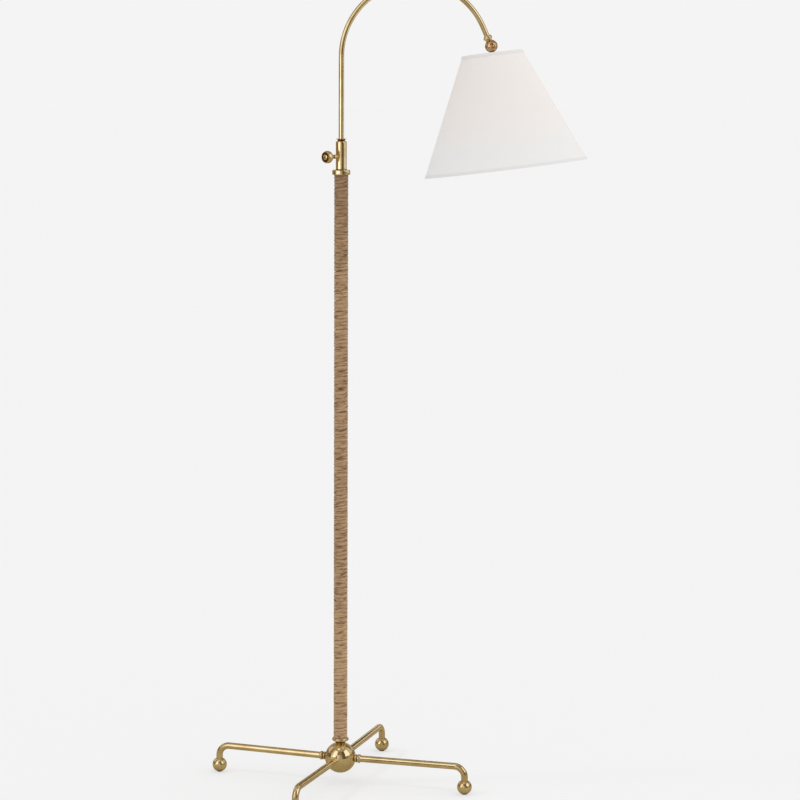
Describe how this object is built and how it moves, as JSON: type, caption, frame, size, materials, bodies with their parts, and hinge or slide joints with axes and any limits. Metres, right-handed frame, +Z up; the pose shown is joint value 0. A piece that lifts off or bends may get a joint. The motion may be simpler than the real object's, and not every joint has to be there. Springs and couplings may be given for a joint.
{
  "type": "floor lamp",
  "caption": "Task floor lamp: brass stand on ball feet, rope-wound column, bent arm that slides in a thumb-screwed clamp, and a white cone shade on a ball swivel",
  "frame": {"origin": "on the floor, under the column's axis", "axes": "+Z up along the column, +X the way the arm reaches, -Y towards the viewer"},
  "size_m": [0.7095, 0.4998, 1.5333],
  "materials": {
    "satin_brass": "satin, lightly aged",
    "natural_rope": "twisted natural fibre",
    "black_plastic": "matte",
    "zinc_steel": "zinc plated",
    "nylon": "natural nylon",
    "white_wire": "white enamel",
    "shade_linen": "fine white weave",
    "shade_tape": "folded white tape",
    "socket_brass": "plain polished",
    "phenolic": "moulded",
    "opal_glass": "opal"
  },
  "bodies": {
    "base": {"hub": "satin_brass", "hub_cap": "satin_brass", "cord_bushing": "satin_brass", "base_nipple": "zinc_steel", "base_washer": "zinc_steel", "base_nut": "zinc_steel", "leg_socket_right": "satin_brass", "leg_right": "satin_brass", "ball_foot_right": "satin_brass", "foot_pad_right": "black_plastic", "leg_socket_back": "satin_brass", "leg_back": "satin_brass", "ball_foot_back": "satin_brass", "foot_pad_back": "black_plastic", "leg_socket_left": "satin_brass", "leg_left": "satin_brass", "ball_foot_left": "satin_brass", "foot_pad_left": "black_plastic", "leg_socket_front": "satin_brass", "leg_front": "satin_brass", "ball_foot_front": "satin_brass", "foot_pad_front": "black_plastic", "foot_screws": "zinc_steel", "foot_plugs": "zinc_steel", "base_cup": "satin_brass", "column_plug": "zinc_steel", "column_tube": "zinc_steel", "rope_core": "natural_rope", "rope_turns": "natural_rope", "column_flange": "satin_brass", "clamp_sleeve": "satin_brass", "sleeve_cap": "satin_brass"},
    "collet": {"clamp_collet": "nylon"},
    "thumb_screw": {"thumb_stud": "satin_brass", "thumb_knob": "satin_brass"},
    "arm": {"arm_tube": "satin_brass", "arm_glide": "nylon", "knuckle_collar": "satin_brass"},
    "swivel": {"swivel_ball": "satin_brass", "stem_clip": "zinc_steel", "pivot_screw": "satin_brass", "pivot_nut": "satin_brass"},
    "head": {"swivel_tongue": "satin_brass", "head_nipple": "zinc_steel", "shade_spider": "white_wire", "shade_lower_ring": "white_wire", "shade_skin": "shade_linen", "rim_tape_top": "shade_tape", "rim_tape_bottom": "shade_tape", "head_washer": "zinc_steel", "head_nut": "zinc_steel", "socket_cap": "socket_brass", "socket_shell": "socket_brass", "socket_body": "phenolic", "socket_screw_shell": "zinc_steel", "bulb_base": "zinc_steel", "bulb_glass": "opal_glass"},
    "switch": {"switch_key": "satin_brass"}
  },
  "joints": [
    {"name": "arm_swivel", "type": "hinge", "parent": "base", "child": "collet", "pos_m": [0, 0, 1.2132], "axis": [0, 0, 1], "range_deg": [-175, 175]},
    {"name": "arm_height", "type": "slide", "parent": "collet", "child": "arm", "axis": [0, 0, 1], "range_m": [-0.13, 0.17]},
    {"name": "ball_turn", "type": "hinge", "parent": "arm", "child": "swivel", "pos_m": [0.27899, 0, 1.4108], "axis": [0.4067, 0, -0.9135], "range_deg": [-170, 170]},
    {"name": "shade_tilt", "type": "hinge", "parent": "swivel", "child": "head", "pos_m": [0.27899, 0, 1.4108], "axis": [-0.1586, 0.9848, -0.0706], "range_deg": [-66, 33]},
    {"name": "thumb_turn", "type": "hinge", "parent": "base", "child": "thumb_screw", "pos_m": [0, 0, 1.205], "axis": [-0.7071, -0.7071, 0], "range_deg": [0, 540]},
    {"name": "switch_turn", "type": "hinge", "parent": "head", "child": "switch", "pos_m": [0.28462, -0.00229, 1.36621], "axis": [0.1586, -0.9848, 0.0706], "continuous": true}
  ]
}
